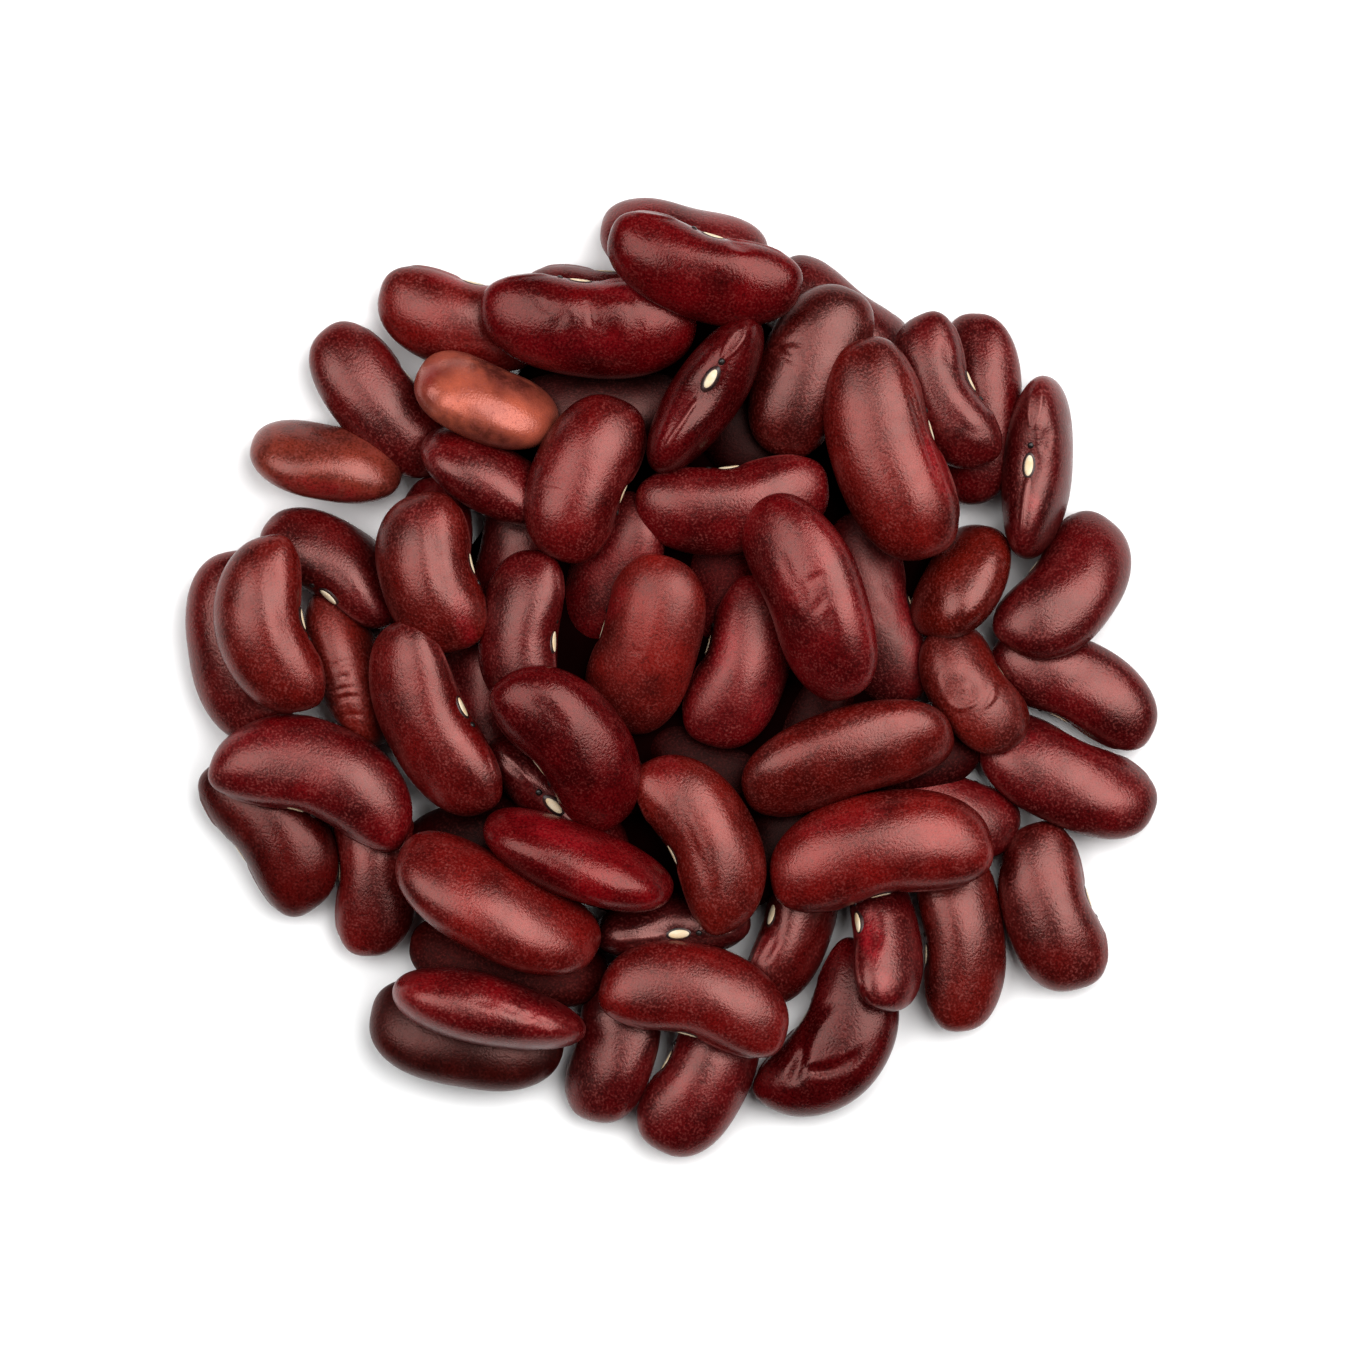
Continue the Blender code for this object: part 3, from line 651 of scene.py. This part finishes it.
def oval_on_skin(bean, place, middle, length, width, rise, sink):
    """A low dome with an oval outline on the scar's side of a bean, its edge sunk into the skin.

    place is the scar's, from -1 to 1, and middle the dome's own, in millimetres along the bean.
    """
    rings, sides = OVAL_RINGS, OVAL_SIDES
    turn = np.arange(sides) / sides * 2 * math.pi
    points = []
    for r in range(1, rings + 1):
        part = r / rings
        x = middle + part * length / 2 * np.cos(turn)
        z = part * width / 2 * np.sin(turn)
        height = rise * (1 - part ** OVAL_FULLNESS) - (sink if r == rings else 0)
        points.append((x, z, np.full(sides, height)))
    x = np.concatenate([[middle]] + [p[0] for p in points])
    z = np.concatenate([[0.0]] + [p[1] for p in points])
    h = np.concatenate([[rise]] + [p[2] for p in points])
    u = x / (bean.length / 2)
    a = np.arcsin(np.clip(z / (bean.width * FLATNESS / 2), -OVAL_LIMIT, OVAL_LIMIT))
    own = skin_point(bean, u, a)
    own[:, 1] += h - moat(bean, u, z, place)
    faces = [(0, 1 + s, 1 + (s + 1) % sides) for s in range(sides)]
    for r in range(rings - 1):
        for s in range(sides):
            t = (s + 1) % sides
            low, high = 1 + r * sides, 1 + (r + 1) * sides
            faces.append((low + s, high + s, high + t, low + t))
    return own, faces


def scar_pieces(bean, pose, index):
    """The scar, the dark ring around it and the pore beside it."""
    place = SCAR_PLACES.get(index, SCAR_PLACE)
    middle = place * bean.length / 2
    pore = middle + SCAR_LENGTH / 2 + PORE_GAP
    ovals = (
        (middle, SCAR_LENGTH, SCAR_WIDTH, SCAR_RISE, SCAR_SINK),
        (middle, SCAR_LENGTH + 2 * RIM_WIDTH, SCAR_WIDTH + 2 * RIM_WIDTH, RIM_RISE, SCAR_SINK),
        (pore, PORE_SIZE, PORE_SIZE, PORE_RISE, PORE_SINK),
    )
    made = []
    for oval in ovals:
        own, faces = oval_on_skin(bean, place, *oval)
        made.append((placed(own, bean, pose), faces, {"own_place": own + OWN_SPACING * index}))
    return made


def core_piece():
    """The low middle of the heap, hidden under the beans and reaching further where they lie thick."""
    turn = np.arange(CORE_SIDES) / CORE_SIDES * 2 * math.pi
    reach = CORE_RADIUS + CORE_WAVE * np.sin(CORE_WAVES * turn)
    for length, direction, spread in CORE_REACHES:
        aside = (turn - math.radians(direction)) / math.radians(spread)
        reach = reach + length * np.exp(-aside ** 4)
    points = []
    for part, height in CORE_PROFILE:
        ring = np.stack([np.cos(turn) * reach, np.sin(turn) * reach], -1) * part
        points.append(np.concatenate([ring, np.full((CORE_SIDES, 1), height)], -1))
    verts = np.concatenate(points + [[[0, 0, 0]], [[0, 0, CORE_PROFILE[-1][1]]]])
    return joined_mesh("heap_core", [(verts, grid_faces(len(points), CORE_SIDES), {})])


class Nodes:
    """A material's node tree, with short calls to add and join nodes."""

    def __init__(self, name):
        self.material = bpy.data.materials.new(name)
        self.material.use_nodes = True
        self.tree = self.material.node_tree
        self.shader = self.tree.nodes["Principled BSDF"]

    def add(self, kind, **values):
        node = self.tree.nodes.new(kind)
        for key, value in values.items():
            setattr(node, key, value)
        return node

    def join(self, out_socket, in_socket):
        self.tree.links.new(out_socket, in_socket)

    def attribute(self, name):
        return self.add("ShaderNodeAttribute", attribute_name=name)

    def noise(self, place, scale, detail=2.0, roughness=0.5):
        node = self.add("ShaderNodeTexNoise")
        node.inputs["Scale"].default_value = scale
        node.inputs["Detail"].default_value = detail
        node.inputs["Roughness"].default_value = roughness
        self.join(place, node.inputs["Vector"])
        return node.outputs["Fac"]

    def map(self, value, low, high, to_low=0.0, to_high=1.0):
        node = self.add("ShaderNodeMapRange")
        node.inputs["From Min"].default_value = low
        node.inputs["From Max"].default_value = high
        node.inputs["To Min"].default_value = to_low
        node.inputs["To Max"].default_value = to_high
        self.join(value, node.inputs["Value"])
        return node.outputs["Result"]

    def mix(self, amount, first, second, blend="MIX"):
        node = self.add("ShaderNodeMix", data_type="RGBA", blend_type=blend)
        self.put(node.inputs["Factor"], amount)
        self.put(node.inputs[6], first)
        self.put(node.inputs[7], second)
        return node.outputs[2]

    def math(self, operation, first, second):
        node = self.add("ShaderNodeMath", operation=operation)
        self.put(node.inputs[0], first)
        self.put(node.inputs[1], second)
        return node.outputs[0]

    def put(self, socket, value):
        """Joins a node's output to the socket, or sets the socket to a colour or a number."""
        if isinstance(value, bpy.types.NodeSocket):
            self.join(value, socket)
        elif isinstance(value, tuple):
            socket.default_value = (*value, 1.0)
        else:
            socket.default_value = value

    def bump(self, height, strength, distance):
        node = self.add("ShaderNodeBump")
        node.inputs["Strength"].default_value = strength
        node.inputs["Distance"].default_value = distance
        self.join(height, node.inputs["Height"])
        self.join(node.outputs["Normal"], self.shader.inputs["Normal"])

    def finish(self, **values):
        for key, value in values.items():
            self.put(self.shader.inputs[key.replace("_", " ")], value)


def skin_material(name, gloss, smooth, rough, dusty):
    """A bean's skin: its colour with clouds, patches, fine specks and dust, as the bean's values say,
    with painted shade on the beans deep in the heap and on bean 0.
    """
    n = Nodes(name)
    place = n.attribute("own_place").outputs["Vector"]
    tone = n.attribute("tone").outputs["Fac"]
    lightness_and_shade = n.attribute("lightness_and_shade").outputs["Fac"]
    ridge = n.attribute("ridge").outputs["Fac"]
    dull = n.attribute("dull").outputs["Fac"]
    flush_and_shade_here = n.attribute("flush_and_shade").outputs["Fac"]
    cloud = n.noise(place, CLOUD_SCALE, 3.0)
    blotch = n.noise(place, BLOTCH_SCALE, 2.0)
    speck = n.noise(place, SPECK_SCALE, 1.5, 0.6)
    brown = n.mix(n.map(tone, 0.0, 1.0), WINE, BROWN)
    skin = n.mix(n.map(tone, 1.0, 2.0), brown, ORANGE)
    clouds = n.mix(n.map(cloud, 0.32, 0.68), CLOUD_DARK, CLOUD_LIGHT)
    skin = n.mix(1.0, skin, clouds, "MULTIPLY")

    # The patches of single beans, broken up by a noise, with painted shade among them on bean 0
    wavy = n.math("MULTIPLY", flush_and_shade_here, n.map(n.noise(place, FLUSH_SCALE, 3.0), 0.35, 0.6, 0.35, 1.0))
    skin = n.mix(n.map(wavy, 0.0, 1.0), skin, FLUSH_RED)
    skin = n.mix(n.map(wavy, 0.0, -1.0), skin, MOTTLE_AND_SHADE_DARK)

    # Dark specks, fewer on the orange bean
    specks = n.math("MULTIPLY", n.map(speck, *SPECK_RANGE), n.map(tone, 1.2, 2.0, 1.0, 0.3))
    skin = n.mix(specks, skin, SPECK_DARK)
    # Painted shade: the bean's light factor is low for the beans deep in the heap's gaps
    skin = n.mix(1.0, skin, lightness_and_shade, "MULTIPLY")

    # Dust between the specks, in blotches, and less of it on dark beans, the painted-shade beans deep in
    # the heap among them
    dust = n.math("MULTIPLY", n.map(speck, *DUST_RANGE, dusty), n.map(blotch, 0.35, 0.65, 0.4, 1.0))
    dust = n.math("MULTIPLY", dust, n.map(lightness_and_shade, 0.1, 0.9, 0.1, 1.0))
    skin = n.mix(dust, skin, DUST)
    skin = n.mix(n.map(ridge, 0.2, 1.0, 0.0, 0.35), skin, RIDGE_PINK)

    of_specks = n.math("MULTIPLY", speck, GRAIN_OF_SPECKS)
    of_blotches = n.math("MULTIPLY", blotch, GRAIN_OF_BLOTCHES)
    n.bump(n.math("ADD", of_specks, of_blotches), GRAIN_STRENGTH, GRAIN_HEIGHT)
    roughness = n.math("ADD", n.map(blotch, 0.3, 0.7, smooth, rough), dull)
    roughness = n.math("ADD", roughness, n.map(dust, 0.0, 1.0, 0.0, 0.2))
    n.finish(
        Base_Color=skin,
        Roughness=roughness,
        IOR=SKIN_IOR,
        Specular_IOR_Level=gloss,
        Specular_Tint=GLOSS_TINT,
    )
    return n.material


def plain_material(name, colour, second, scale, roughness, grain):
    """Two colours mixed by a noise that also gives the grain."""
    n = Nodes(name)
    place = n.attribute("own_place").outputs["Vector"]
    cloud = n.noise(place, scale, 3.0)
    n.bump(cloud, 0.4, grain)
    n.finish(Base_Color=n.mix(n.map(cloud, 0.35, 0.65), colour, second), Roughness=roughness)
    return n.material


def core_material():
    """Painted shade: nearly black and without gloss, standing in for the shade deep in the heap."""
    n = Nodes("core_painted_shade")
    place = n.add("ShaderNodeTexCoord").outputs["Object"]
    cloud = n.noise(place, 300.0, 3.0)
    n.finish(
        Base_Color=n.mix(cloud, CORE_SHADE_BLACK, CORE_SHADE_DARK),
        Roughness=0.9,
        Specular_IOR_Level=0.0,
    )
    return n.material


def ground():
    """The white surface that the heap lies on, which isn't part of it."""
    mesh = bpy.data.meshes.new("ground")
    half = GROUND_HALF
    corners = [(-half, -half, 0), (half, -half, 0), (half, half, 0), (-half, half, 0)]
    mesh.from_pydata(corners, [], [(0, 1, 2, 3)])
    obj = bpy.data.objects.new("ground", mesh)
    bpy.context.scene.collection.objects.link(obj)
    n = Nodes("ground_white")
    n.finish(Base_Color=GROUND_WHITE, Roughness=GROUND_ROUGHNESS)
    mesh.materials.append(n.material)


def dress(obj, material):
    """Gives a piece its material and its body, and hides the part that it replaces."""
    obj.data.materials.clear()
    obj.data.materials.append(material)
    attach(obj, "root")
    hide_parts(NODE)


def make_heap():
    """All beans in groups of like skin and detail, their scars, and the core below them."""
    poses = settle(HEAP, len(ON_THE_GROUND))
    skin = skin_material("bean_skin", *SKIN)
    skins = {
        "beans_below": skin_material("bean_skin_painted_shade", *SKIN_PAINTED_SHADE),
        "beans_deep_red": skin_material("bean_skin_deep_red", *SKIN_DEEP_RED),
    }
    details = {
        "beans_below": PLAIN, "beans_on_the_ground": PLAIN, "beans_in_the_middle": MEDIUM,
        "beans_on_top": FINE, "beans_with_folds": FOLDED, "beans_deep_red": FOLDED,
    }
    groups = {name: [] for name in details}
    scars, rims, pores = [], [], []
    for index, (bean, pose) in enumerate(zip(HEAP, poses)):
        if index in BELOW:
            group = "beans_below"
        elif index in DEEP_RED:
            group = "beans_deep_red"
        elif index in WITH_FOLDS:
            group = "beans_with_folds"
        elif index < len(ON_THE_GROUND):
            group = "beans_on_the_ground"
        elif index < len(ON_THE_GROUND) + len(IN_THE_MIDDLE):
            group = "beans_in_the_middle"
        else:
            group = "beans_on_top"
        groups[group].append(bean_piece(bean, pose, details[group], index))
        scar, rim, pore = scar_pieces(bean, pose, index)
        scars.append(scar)
        rims.append(rim)
        pores.append(pore)
    for group, pieces in groups.items():
        dress(joined_mesh(group, pieces), skins.get(group, skin))
    dress(joined_mesh("scars", scars), plain_material("scar", *SCAR_LOOK))
    dress(joined_mesh("scar_rims", rims), plain_material("scar_rim", *RIM_LOOK))
    dress(joined_mesh("pores", pores), plain_material("pore", *PORE_LOOK))
    dress(core_piece(), core_material())


def add_light(name, place, width, height, power):
    """A rectangular light that faces the heap."""
    data = bpy.data.lights.new(name, "AREA")
    data.shape = "RECTANGLE"
    data.size = width
    data.size_y = height
    data.energy = power
    light = bpy.data.objects.new(name, data)
    light.location = place
    light.rotation_euler = (-Vector(place)).to_track_quat("-Z", "Y").to_euler()
    bpy.context.scene.collection.objects.link(light)


def studio():
    """The softboxes, a faint even sky and the display's contrast."""
    world = bpy.data.worlds.new("studio")
    bpy.context.scene.world = world
    world.use_nodes = True
    background = world.node_tree.nodes["Background"]
    background.inputs["Color"].default_value = (1.0, 1.0, 1.0, 1.0)
    background.inputs["Strength"].default_value = SKY
    for softbox in SOFTBOXES:
        add_light(*softbox)
    bpy.context.scene.view_settings.view_transform = "Standard"
    bpy.context.scene.view_settings.gamma = CONTRAST


def camera():
    """Straight above the photograph's middle, so close that the beans' scale matches."""
    middle = IMAGE_SIDE / 2
    x = (middle - HEAP_MIDDLE_PIXEL[0]) / PIXELS_PER_MM
    y = (HEAP_MIDDLE_PIXEL[1] - middle) / PIXELS_PER_MM
    data = bpy.data.cameras.new("camera")
    data.sensor_width = SENSOR
    seen = IMAGE_SIDE / PIXELS_PER_MM
    data.lens = SENSOR * (CAMERA_HEIGHT - SHARP_HEIGHT) / seen
    obj = bpy.data.objects.new("camera", data)
    obj.location = Vector((x, y, CAMERA_HEIGHT)) * MM
    bpy.context.scene.collection.objects.link(obj)
    bpy.context.scene.camera = obj


camera()
studio()
ground()
make_heap()
